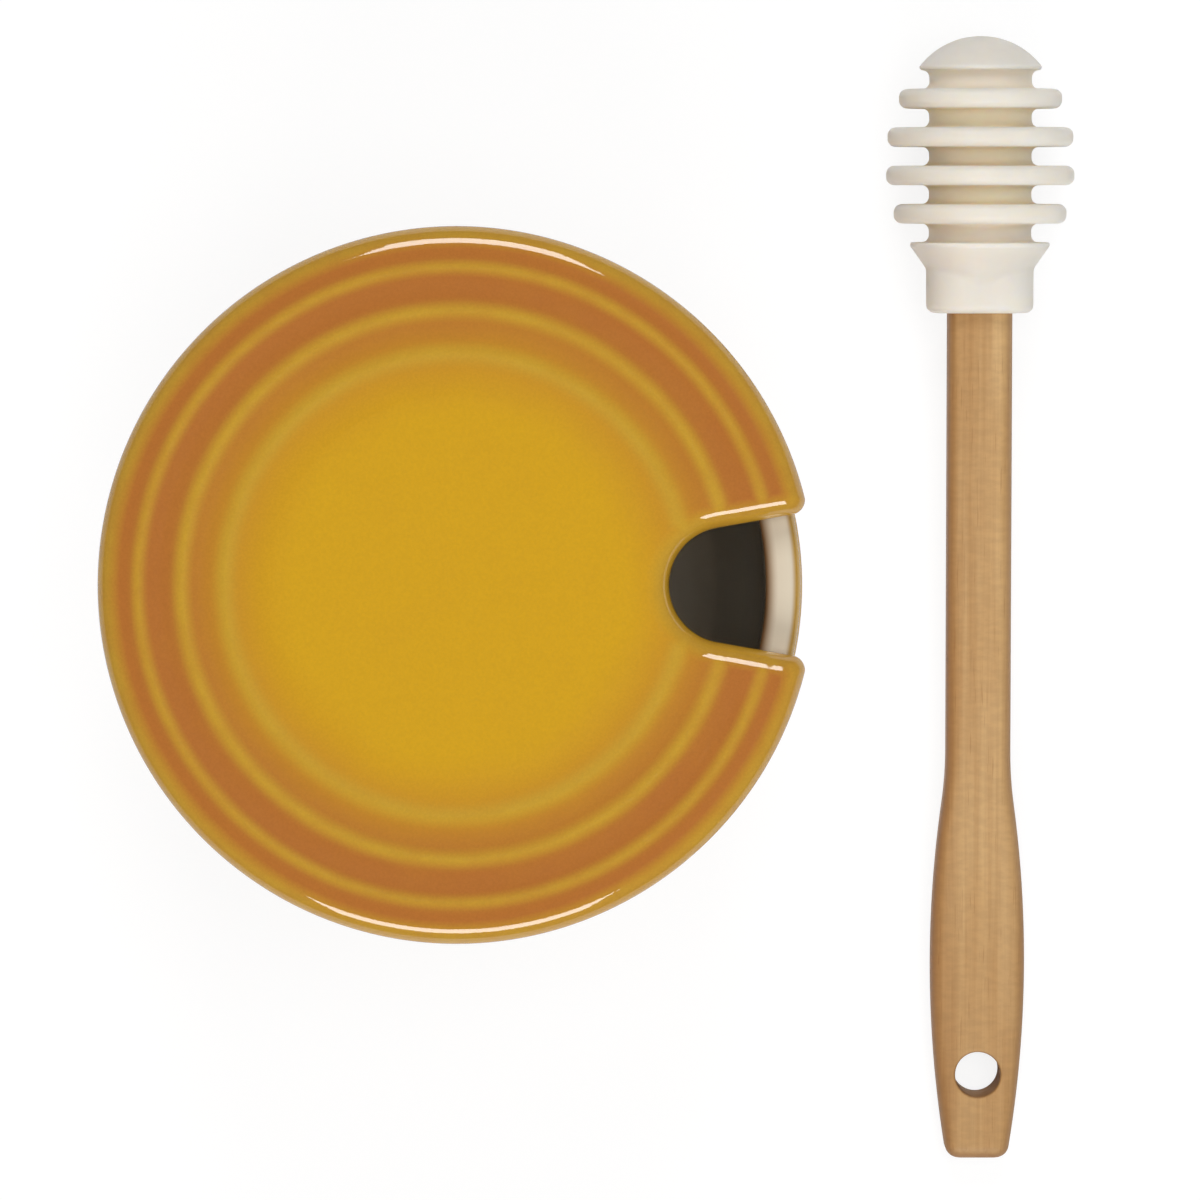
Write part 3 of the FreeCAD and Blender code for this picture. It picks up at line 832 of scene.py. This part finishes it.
def model_head(sizes, handle):
    """Dome, discs and skirt turned in one outline, then the collar and its socket ring by ring."""
    bm = bmesh.new()
    groove = bm.verts.layers.float.new("groove")
    path = head_outline(sizes)
    line = draw_line(bm, [(place.x, 0, place.y) for place in path])
    middle = sizes.first_disc + sizes.disc_pitch * (len(sizes.disc_radii) - 1) / 2
    skirt_edge = path[-1].y
    # Painted light on the grooves' core, weaker in the outer grooves
    for vert in line:
        if skirt_edge + WELD <= vert.co.z <= path[0].y - sizes.cap_height:
            outer = ease(*OUTER_GROOVES, abs(vert.co.z - middle) / sizes.disc_pitch)
            deep = 1 - ease(sizes.core_radius, sizes.core_radius + GROOVE_REACH, vert.co.x)
            vert[groove] = deep * (1 - outer * GROOVE_LOSS)
    spin_line(bm, math.tau, sizes.steps)
    ring = {vert for edge in border(bm) for vert in edge.verts}
    ring = sorted(ring, key=lambda vert: math.atan2(vert.co.y, vert.co.x))
    ways = [vert.co.xy.normalized() for vert in ring]
    slope = math.tan(sizes.flare_angle)

    def collar(way, inset):
        return block_radius(way, sizes.collar_width / 2 - inset,
                            sizes.collar_thickness / 2 - inset, sizes.collar_corner - inset)

    def soft_max(one, other):
        gap = max(sizes.collar_blend * 2 - abs(one - other), 0.0)
        return max(one, other) + gap ** 2 / (8 * sizes.collar_blend)

    def lay_ring(radii, height):
        return next_ring(bm, ring, [(way * radius).to_3d() + Vector((0, 0, height))
                                    for way, radius in zip(ways, radii)])

    for step in range(1, COLLAR_STEPS + 1):
        height = skirt_edge + (sizes.collar_edge - skirt_edge) * step / COLLAR_STEPS
        cone = sizes.flare_radius - (skirt_edge - height) * slope
        radii = [soft_max(collar(way, 0), cone) for way in ways]
        ring = lay_ring([min(radius, sizes.flare_radius) for radius in radii], height)
    for gone, left in quarter_eases(MOUTH_STEPS):
        radii = [collar(way, sizes.collar_edge * gone) for way in ways]
        ring = lay_ring(radii, sizes.collar_edge * left)
    play = sizes.clearance
    half_width, half_thickness = handle.width / 2 + play, handle.thickness / 2 + play
    socket = [block_radius(way, half_width, half_thickness, handle.rounding + play) for way in ways]
    bottom = handle.grip_depth + sizes.tip_clearance
    peg = [handle.peg_radius + play] * len(ways)
    peg_tip = [handle.peg_radius + play - handle.peg_edge] * len(ways)
    end = bottom + handle.peg_length
    for radii, height in ((socket, 0.0), (socket, bottom), (peg, bottom),
                          (peg, end - handle.peg_edge), (peg_tip, end)):
        ring = lay_ring(radii, height)
    bmesh.ops.contextual_create(bm, geom=border(bm))
    lie_down(bm, collar_mouth(handle))
    return bm


def handle_half_width(sizes, place):
    """Half the handle's width at a place along it: straight shank, neck, grip and rounded tail."""
    half = sizes.width / 2
    tail = -sizes.length
    grip_x = sizes.grip_width / 2 - sizes.grip_radius
    grip_y = tail + sizes.grip_height
    rise = half + sizes.neck_radius - grip_x
    reach = sizes.grip_radius + sizes.neck_radius
    run = math.sqrt(reach ** 2 - rise ** 2)
    neck_y = grip_y + run
    meet_y = grip_y + run * sizes.grip_radius / reach
    if place >= neck_y:
        return half
    if place >= meet_y:
        return half + sizes.neck_radius - math.sqrt(sizes.neck_radius ** 2 - (neck_y - place) ** 2)
    wide = grip_x + math.sqrt(sizes.grip_radius ** 2 - (place - grip_y) ** 2)
    return wide - round_off(place - tail, sizes.tail_corner)


def round_off(distance, rounding):
    """How much a rounded end takes off, at a distance from the end."""
    if distance >= rounding:
        return 0.0
    return rounding - math.sqrt(rounding ** 2 - (rounding - distance) ** 2)


def section(half_width, half_thickness, rounding):
    """A rounded rectangle that starts at its right side and runs round over its upper flat."""
    flat = half_width - rounding
    side = half_thickness - rounding
    points = []
    for quarter, (x, y) in enumerate(((1, 1), (-1, 1), (-1, -1), (1, -1))):
        start = QUARTER * quarter
        corner = bend((flat * x, side * y), rounding, start, start + QUARTER, CORNER_STEPS)
        ahead = ((-flat, half_thickness), (-half_width, -side),
                 (flat, -half_thickness), (half_width, side))[quarter]
        steps = FLAT_STEPS if quarter % 2 == 0 else SIDE_STEPS
        points += corner
        points += [corner[-1].lerp(Vector(ahead), step / steps) for step in range(1, steps)]
    return points


def handle_stations(sizes):
    """Where the handle's sections lie: close together at the tail and round the hole."""
    tail = -sizes.length
    hole = tail + sizes.hole_inset
    patch = sizes.hole_radius + HOLE_PATCH
    rounding = max(sizes.tail_corner, sizes.rounding)
    stations = [tail] + [tail + rounding * gone for gone, _ in quarter_eases(TAIL_STEPS)]

    def run_to(end, steps):
        start = stations[-1]
        stations.extend(start + (end - start) * step / steps for step in range(1, steps + 1))

    run_to(hole - patch, HOLE_LEAD_STEPS)
    run_to(hole + patch, FLAT_STEPS)
    run_to(sizes.grip_depth, SHANK_STEPS)
    return stations, hole - patch, hole + patch


def cut_hole(bm, sizes, start, end):
    """Open the two flats round the hole and run their borders through to the handle's middle."""
    middle = -sizes.length + sizes.hole_inset
    half = sizes.thickness / 2
    near = WELD * 10
    rounds = [(sizes.hole_radius + sizes.hole_edge, half)]
    rounds += [(sizes.hole_radius + sizes.hole_edge * left, half - sizes.hole_edge * gone)
               for gone, left in quarter_eases(HOLE_EDGE_STEPS)]
    rounds += [(sizes.hole_radius, half / 2), (sizes.hole_radius, 0.0)]
    for side in (1, -1):

        def on_patch(spot):
            return abs(spot.y * side - half) < near and start - near < spot.z < end + near

        patch = [face for face in bm.faces if on_patch(face.calc_center_median())]
        bmesh.ops.delete(bm, geom=patch, context="FACES")
        loop = [edge for edge in border(bm) if all(on_patch(vert.co) for vert in edge.verts)]
        for radius, depth in rounds:
            loop, verts = next_loop(bm, loop)
            for vert in verts:
                way = Vector((vert.co.x, vert.co.z - middle)).normalized()
                vert.co = (way.x * radius, depth * side, middle + way.y * radius)


def model_handle(sizes):
    """Rounded sections from the tail to the shoulder, the peg beyond it, and the hanging hole."""
    bm = bmesh.new()
    bare_end = bm.verts.layers.float.new("end_grain")
    side = bm.verts.layers.float.new("side")
    stations, hole_start, hole_end = handle_stations(sizes)
    tail = stations[0]
    half = sizes.thickness / 2

    def places(station):
        eased = round_off(station - tail, sizes.rounding)
        soft = max(sizes.rounding - eased * 0.7, sizes.rounding / 8)
        outline = section(handle_half_width(sizes, station), half - eased, soft)
        return [place.to_3d() + Vector((0, 0, station)) for place in outline]

    first = places(tail)
    ring = tail_ring = bmesh.ops.create_circle(bm, segments=len(first), radius=sizes.width)["verts"]
    for vert, place in zip(ring, first):
        vert.co = place
    for station in stations[1:]:
        ring = next_ring(bm, ring, places(station))
    peg_end = sizes.grip_depth + sizes.peg_length
    peg = [(sizes.peg_radius, sizes.grip_depth), (sizes.peg_radius, peg_end - sizes.peg_edge)]
    peg += [(sizes.peg_radius - sizes.peg_edge * gone, peg_end - sizes.peg_edge * left)
            for gone, left in quarter_eases(PEG_STEPS)]
    for radius, height in peg:
        ring = next_ring(bm, ring, [(*(vert.co.xy.normalized() * radius), height) for vert in ring])
    bmesh.ops.contextual_create(bm, geom=ring_edges(bm, ring))
    for share in TAIL_RINGS:
        inner = [(place.x * share, place.y * share, tail) for place in first]
        tail_ring = next_ring(bm, tail_ring, inner)
    bmesh.ops.contextual_create(bm, geom=ring_edges(bm, tail_ring))
    for vert in bm.verts:
        vert[bare_end] = 1 - ease(0.0, END_GRAIN, vert.co.z - tail)
    cut_hole(bm, sizes, hole_start, hole_end)
    bmesh.ops.recalc_face_normals(bm, faces=bm.faces[:])
    bm.normal_update()
    # Painted shade: how far each face turns from the flats to the handle's sides
    for vert in bm.verts:
        vert[side] = ease(*SIDE_SHADE_RISE, 1 - abs(vert.normal.y))
    lie_down(bm, collar_mouth(sizes))
    return bm


# Finishes

def fresh_tree(owner):
    """The empty node tree of a material or a world."""
    owner.use_nodes = True
    owner.node_tree.nodes.clear()
    return owner.node_tree


def fill(tree, node, inputs):
    """Give a node's sockets their values, or links from other sockets."""
    for name, value in inputs.items():
        if isinstance(value, bpy.types.NodeSocket):
            tree.links.new(value, node.inputs[name])
        else:
            node.inputs[name].default_value = value


def add_node(tree, kind, inputs=None, **settings):
    """A node with its settings and its sockets filled."""
    made = tree.nodes.new(kind)
    for name, value in settings.items():
        setattr(made, name, value)
    fill(tree, made, inputs or {})
    return made


def opaque(three):
    return (*three, 1.0)


def mixed(tree, share, first, second, blend="MIX"):
    inputs = {0: share, 6: first, 7: second}
    return add_node(tree, "ShaderNodeMix", inputs, data_type="RGBA", blend_type=blend).outputs[2]


def dappled(tree, base, share):
    """A colour made lighter or darker by a share."""
    grey = add_node(tree, "ShaderNodeCombineColor", {0: share, 1: share, 2: share}).outputs[0]
    return mixed(tree, 1.0, base, grey, "MULTIPLY")


def worked(tree, operation, first, second=0.0):
    return add_node(tree, "ShaderNodeMath", {0: first, 1: second}, operation=operation).outputs[0]


def risen(tree, value, low, high, bottom=0.0, top=1.0):
    """A smooth rise from bottom to top as a value goes from low to high."""
    inputs = {"Value": value, "From Min": low, "From Max": high, "To Min": bottom, "To Max": top}
    return add_node(tree, "ShaderNodeMapRange", inputs, interpolation_type="SMOOTHSTEP").outputs[0]


def noise(tree, vector, scale, detail=2.0, roughness=0.5):
    inputs = {"Vector": vector, "Scale": scale, "Detail": detail, "Roughness": roughness}
    return add_node(tree, "ShaderNodeTexNoise", inputs).outputs[0]


def marked(tree, name):
    return add_node(tree, "ShaderNodeAttribute", attribute_name=name).outputs["Fac"]


def roughen(tree, shader, strength, distance, height):
    """Small bumps on a surface."""
    inputs = {"Strength": strength, "Distance": distance, "Height": height}
    fill(tree, shader, {"Normal": add_node(tree, "ShaderNodeBump", inputs).outputs[0]})


def new_material(name):
    material = bpy.data.materials.new(name)
    tree = fresh_tree(material)
    shader = add_node(tree, "ShaderNodeBsdfPrincipled")
    add_node(tree, "ShaderNodeOutputMaterial", {0: shader.outputs[0]})
    place = add_node(tree, "ShaderNodeTexCoord").outputs["Object"]
    return material, tree, shader, place


def glaze_colour(tree, place, finishes, shade, crest):
    """Honey glaze that darkens to amber where it runs, and thins to gold on crests."""
    wander = noise(tree, place, 90.0, 3.0)
    shade = worked(tree, "ADD", shade, risen(tree, wander, 0.3, 0.7, -0.03, 0.03))
    base = mixed(tree, shade, opaque(finishes.honey), opaque(finishes.amber))
    streak = risen(tree, noise(tree, place, 260.0, 2.0), 0.35, 0.65, 0.85, 1.0)
    base = mixed(tree, worked(tree, "MULTIPLY", crest, streak), base, opaque(finishes.crest))
    grain = risen(tree, noise(tree, place, 2600.0, 2.0, 0.7), 0.25, 0.75, 0.95, 1.05)
    return dappled(tree, base, grain)


def glaze_surface(tree, shader, place, roughness):
    """The slight orange peel of a fired glaze."""
    roughen(tree, shader, 0.12, 0.0002, noise(tree, place, 340.0, 2.0))
    fill(tree, shader, {"IOR": 1.7, "Roughness": roughness})


def lid_glaze(finishes):
    material, tree, shader, place = new_material("honey_lid_glaze")
    parts = add_node(tree, "ShaderNodeSeparateXYZ", {0: place}).outputs
    flat = add_node(tree, "ShaderNodeCombineXYZ", {0: parts[0], 1: parts[1]}).outputs[0]
    radius = add_node(tree, "ShaderNodeVectorMath", {0: flat}, operation="LENGTH").outputs["Value"]
    shade = risen(tree, radius, *LID_SHADE)
    edge = worked(tree, "MULTIPLY", marked(tree, "edge"), 0.84)
    crest = worked(tree, "MAXIMUM", marked(tree, "crest"), edge)
    fill(tree, shader, {"Base Color": glaze_colour(tree, place, finishes, shade, crest)})
    glaze_surface(tree, shader, place, 0.05)
    return material


def pot_glaze(finishes, sizes):
    material, tree, shader, place = new_material("honey_pot_glaze")
    height = add_node(tree, "ShaderNodeSeparateXYZ", {0: place}).outputs[2]
    shade = risen(tree, height, sizes.rim_height * 0.9, sizes.rim_height * 0.2, 0.15, 1.0)
    crest = worked(tree, "MULTIPLY", marked(tree, "crest"), 0.85)
    base = glaze_colour(tree, place, finishes, shade, crest)
    inner = risen(tree, noise(tree, place, 120.0, 3.0), 0.3, 0.7, 0.985, 1.01)
    cream = dappled(tree, opaque(finishes.cream), inner)
    base = mixed(tree, marked(tree, "inside"), base, cream)
    # The rim line outside, and the painted shade over the lip's inner rounding
    base = mixed(tree, marked(tree, "line"), base, opaque(finishes.rim_line_and_shade))
    bare = marked(tree, "bare")
    sand = risen(tree, noise(tree, place, 1500.0, 3.0, 0.7), 0.3, 0.7, 0.85, 1.08)
    base = mixed(tree, bare, base, dappled(tree, opaque(finishes.clay), sand))
    fill(tree, shader, {"Base Color": base})
    glaze_surface(tree, shader, place, risen(tree, bare, 0.0, 1.0, 0.06, 0.75))
    return material


def head_silicone(finishes):
    material, tree, shader, place = new_material("cream_silicone")
    cloud = risen(tree, noise(tree, place, 150.0, 3.0), 0.3, 0.7, 0.98, 1.02)
    # Painted light in the grooves, standing in for light through the silicone
    deep = worked(tree, "MULTIPLY", marked(tree, "groove"), 0.8)
    base = mixed(tree, deep, opaque(finishes.silicone), opaque(finishes.silicone_painted_glow))
    roughen(tree, shader, 0.15, 0.00005, noise(tree, place, 3200.0, 2.0, 0.6))
    fill(tree, shader, {"Base Color": dappled(tree, base, cloud), "Roughness": 0.48, "IOR": 1.42,
                        "Subsurface Weight": 0.85, "Subsurface Radius": (1.0, 0.85, 0.6),
                        "Subsurface Scale": 0.004})
    return material


def handle_wood(finishes):
    """Fine straight grain, short pores, darker end grain, darker towards -x, painted shade on the
    sides.
    """
    material, tree, shader, place = new_material("pale_oiled_wood")
    lean = math.atan2(dipper_axis.z, dipper_axis.y)
    level = {"Vector": place, "Rotation": (-lean, 0.0, 0.0)}
    turned = add_node(tree, "ShaderNodeMapping", level).outputs[0]

    def stretched(across, along):
        inputs = {"Vector": turned, "Scale": (across, along, across)}
        return add_node(tree, "ShaderNodeMapping", inputs).outputs[0]

    broad = noise(tree, stretched(240.0, 7.0), 1.0, 3.0, 0.55)
    fine = noise(tree, stretched(1500.0, 28.0), 1.0, 4.0, 0.65)
    fleck = noise(tree, stretched(420.0, 900.0), 1.0, 2.0, 0.6)
    pores = noise(tree, stretched(3200.0, 130.0), 1.0, 1.0)
    broad_share = risen(tree, broad, 0.3, 0.7, 0.0, 0.55)
    grain = worked(tree, "ADD", broad_share, risen(tree, fine, 0.3, 0.75, 0.06, 0.36))
    base = mixed(tree, grain, opaque(finishes.wood_light), opaque(finishes.wood_dark))
    pore = risen(tree, pores, 0.66, 0.74, 0.0, 0.35)
    base = mixed(tree, pore, base, opaque(finishes.wood_end_and_side_shade))
    patch = risen(tree, noise(tree, stretched(130.0, 20.0), 1.0, 2.0), 0.38, 0.62, 0.0, 1.0)
    base = mixed(tree, patch, base, SOFT_PATCH, "MULTIPLY")
    base = dappled(tree, base, risen(tree, fleck, 0.3, 0.7, 0.96, 1.07))
    # Darker towards the handle's -x side
    parts = add_node(tree, "ShaderNodeSeparateXYZ", {0: place}).outputs
    across = worked(tree, "SUBTRACT", parts[0], hole_place.x)
    minus_x_dark = risen(tree, across, *MINUS_X_DARK_ACROSS, 1.0, 0.0)
    base = mixed(tree, minus_x_dark, base, MINUS_X_DARKENING, "MULTIPLY")
    # Painted shade on the handle's sides, and the real end grain, both in the end-grain colour
    for name, strength in (("side", 0.5), ("end_grain", 0.6)):
        share = worked(tree, "MULTIPLY", marked(tree, name), strength)
        base = mixed(tree, share, base, opaque(finishes.wood_end_and_side_shade))
    roughen(tree, shader, 0.25, 0.0001, worked(tree, "SUBTRACT", fine, pore))
    fill(tree, shader, {"Base Color": base, "Roughness": risen(tree, broad, 0.3, 0.7, 0.46, 0.6)})
    return material


# The stage

def make_camera(stage):
    data = bpy.data.cameras.new("top_camera")
    data.sensor_width = 36.0
    data.lens = data.sensor_width * stage.camera[2] / stage.view_width
    data.clip_start = 0.01
    camera = add_object("top_camera", data)
    camera.location = stage.camera
    bpy.context.scene.camera = camera


def make_lamp(name, shape, spot, wide, deep, glow):
    """A lamp that faces the pot and shines with a given radiance."""
    data = bpy.data.lights.new(name, "AREA")
    data.shape = shape
    data.size = wide
    data.size_y = deep
    area = wide * deep * (math.pi / 4 if shape == "DISK" else 1)
    data.energy = glow * math.pi * area
    lamp = add_object(name, data)
    lamp.location = spot
    lamp.rotation_euler = (-Vector(spot)).to_track_quat("-Z", "Y").to_euler()
    return lamp


def make_lamps(stage):
    """Two strip lamps that draw the highlights, and a soft lamp that leaves no reflection."""
    for name, spot, length in (("upper_strip", stage.upper_lamp, stage.upper_length),
                               ("lower_strip", stage.lower_lamp, stage.lower_length)):
        make_lamp(name, "RECTANGLE", spot, length, stage.strip_width, stage.strip_glow)
    wide = stage.fill_radius * 2
    fill = make_lamp("soft_fill", "DISK", stage.fill_lamp, wide, wide, stage.fill_glow)
    fill.visible_glossy = False


def make_floor(stage):
    """A white floor that keeps a soft shadow of what stands on it and runs out into plain white."""
    bm = bmesh.new()
    bmesh.ops.create_grid(bm, x_segments=1, y_segments=1, size=stage.floor_size)
    bmesh.ops.translate(bm, verts=bm.verts[:], vec=(0, 0, -FLOOR_DROP))
    mesh = as_mesh(bm, "floor")
    material = bpy.data.materials.new("white_floor")
    tree = fresh_tree(material)
    paint = add_node(tree, "ShaderNodeBsdfDiffuse", {"Color": FLOOR_PAINT}).outputs[0]
    shine = {"Color": WHITE, "Strength": FLOOR_WHITE}
    glow = add_node(tree, "ShaderNodeEmission", shine).outputs[0]
    seen = add_node(tree, "ShaderNodeLightPath").outputs["Is Camera Ray"]
    place = add_node(tree, "ShaderNodeTexCoord").outputs["Object"]
    away = add_node(tree, "ShaderNodeVectorMath", {0: place}, operation="LENGTH").outputs["Value"]
    share = worked(tree, "MULTIPLY", seen, risen(tree, away, *FLOOR_FADE, stage.floor_glow, 1.0))
    both = add_node(tree, "ShaderNodeMixShader", {0: share, 1: paint, 2: glow}).outputs[0]
    add_node(tree, "ShaderNodeOutputMaterial", {0: both})
    mesh.materials.append(material)
    floor = add_object("floor", mesh)


def make_world(stage):
    """White all round to the camera; a room with bright sides and a dim ceiling to the object."""
    world = bpy.data.worlds.new("studio")
    tree = fresh_tree(world)
    way = add_node(tree, "ShaderNodeTexCoord").outputs["Generated"]
    height = add_node(tree, "ShaderNodeSeparateXYZ", {0: way}).outputs[2]
    strength = risen(tree, height, 0.2, 0.95, stage.ambient * 1.3, stage.ambient * 0.7)
    rays = add_node(tree, "ShaderNodeLightPath").outputs
    white = worked(tree, "MAXIMUM", rays["Is Camera Ray"], rays["Is Transmission Ray"])
    lights = ({"Color": WHITE, "Strength": light} for light in (strength, 1.0))
    room, plain = (add_node(tree, "ShaderNodeBackground", light).outputs[0] for light in lights)
    both = add_node(tree, "ShaderNodeMixShader", {0: white, 1: room, 2: plain}).outputs[0]
    add_node(tree, "ShaderNodeOutputWorld", {0: both})
    bpy.context.scene.world = world


class HONEYPOT_OT_pot(bpy.types.Operator):
    """Model the fluted pot and glaze it"""
    bl_idname = "honeypot.pot"
    bl_label = "Pot"

    def execute(self, context):
        sizes = context.scene.honey_pot
        material = pot_glaze(context.scene.honey_finishes, sizes)
        finish_piece(model_pot(sizes), "pot_body", "pot", "pot", material)
        return {"FINISHED"}


class HONEYPOT_OT_lid(bpy.types.Operator):
    """Model the ringed lid with its notch and glaze it"""
    bl_idname = "honeypot.lid"
    bl_label = "Lid"

    def execute(self, context):
        bm = model_lid(context.scene.honey_lid)
        material = lid_glaze(context.scene.honey_finishes)
        finish_piece(bm, "ringed_lid", "lid", "lid", material)
        return {"FINISHED"}


class HONEYPOT_OT_head(bpy.types.Operator):
    """Model the ribbed silicone head of the dipper"""
    bl_idname = "honeypot.head"
    bl_label = "Dipper head"

    def execute(self, context):
        bm = model_head(context.scene.honey_head, context.scene.honey_handle)
        material = head_silicone(context.scene.honey_finishes)
        finish_piece(bm, "ribbed_head", "dipper_head", "head", material)
        return {"FINISHED"}


class HONEYPOT_OT_handle(bpy.types.Operator):
    """Model the wooden handle of the dipper"""
    bl_idname = "honeypot.handle"
    bl_label = "Dipper handle"

    def execute(self, context):
        bm = model_handle(context.scene.honey_handle)
        material = handle_wood(context.scene.honey_finishes)
        finish_piece(bm, "wooden_handle", "dipper_handle", "handle", material)
        return {"FINISHED"}


class HONEYPOT_OT_stage(bpy.types.Operator):
    """Set up the camera, the lamps, the floor and the room"""
    bl_idname = "honeypot.stage"
    bl_label = "Stage"

    def execute(self, context):
        stage = context.scene.honey_stage
        make_camera(stage)
        make_lamps(stage)
        make_floor(stage)
        make_world(stage)
        context.scene.view_settings.view_transform = "Standard"
        return {"FINISHED"}


class HONEYPOT_PT_panel(bpy.types.Panel):
    """The pieces of the honey pot and their sizes"""
    bl_idname = "HONEYPOT_PT_panel"
    bl_label = "Honey pot"
    bl_space_type = "VIEW_3D"
    bl_region_type = "UI"
    bl_category = "Honey pot"

    def draw(self, context):
        for operator in OPERATORS:
            self.layout.operator(operator.bl_idname)
        for name in GROUPS:
            box = self.layout.box()
            group = getattr(context.scene, name)
            for field in group.bl_rna.properties:
                if not field.is_readonly and field.identifier != "name":
                    box.prop(group, field.identifier)


GROUPS = {
    "honey_pot": PotSizes,
    "honey_lid": LidSizes,
    "honey_head": HeadSizes,
    "honey_handle": HandleSizes,
    "honey_finishes": Finishes,
    "honey_stage": StageSizes,
}
OPERATORS = (HONEYPOT_OT_pot, HONEYPOT_OT_lid, HONEYPOT_OT_head, HONEYPOT_OT_handle,
             HONEYPOT_OT_stage)
CLASSES = (*GROUPS.values(), *OPERATORS, HONEYPOT_PT_panel)


def register():
    for each in CLASSES:
        bpy.utils.register_class(each)
    for name, group in GROUPS.items():
        setattr(bpy.types.Scene, name, PointerProperty(type=group))


def unregister():
    for name in GROUPS:
        delattr(bpy.types.Scene, name)
    for each in reversed(CLASSES):
        bpy.utils.unregister_class(each)


def main():
    register()
    bpy.ops.honeypot.pot()
    bpy.ops.honeypot.lid()
    bpy.ops.honeypot.head()
    bpy.ops.honeypot.handle()
    bpy.ops.honeypot.stage()
    bpy.context.view_layer.update()


if __name__ == "__main__":
    main()
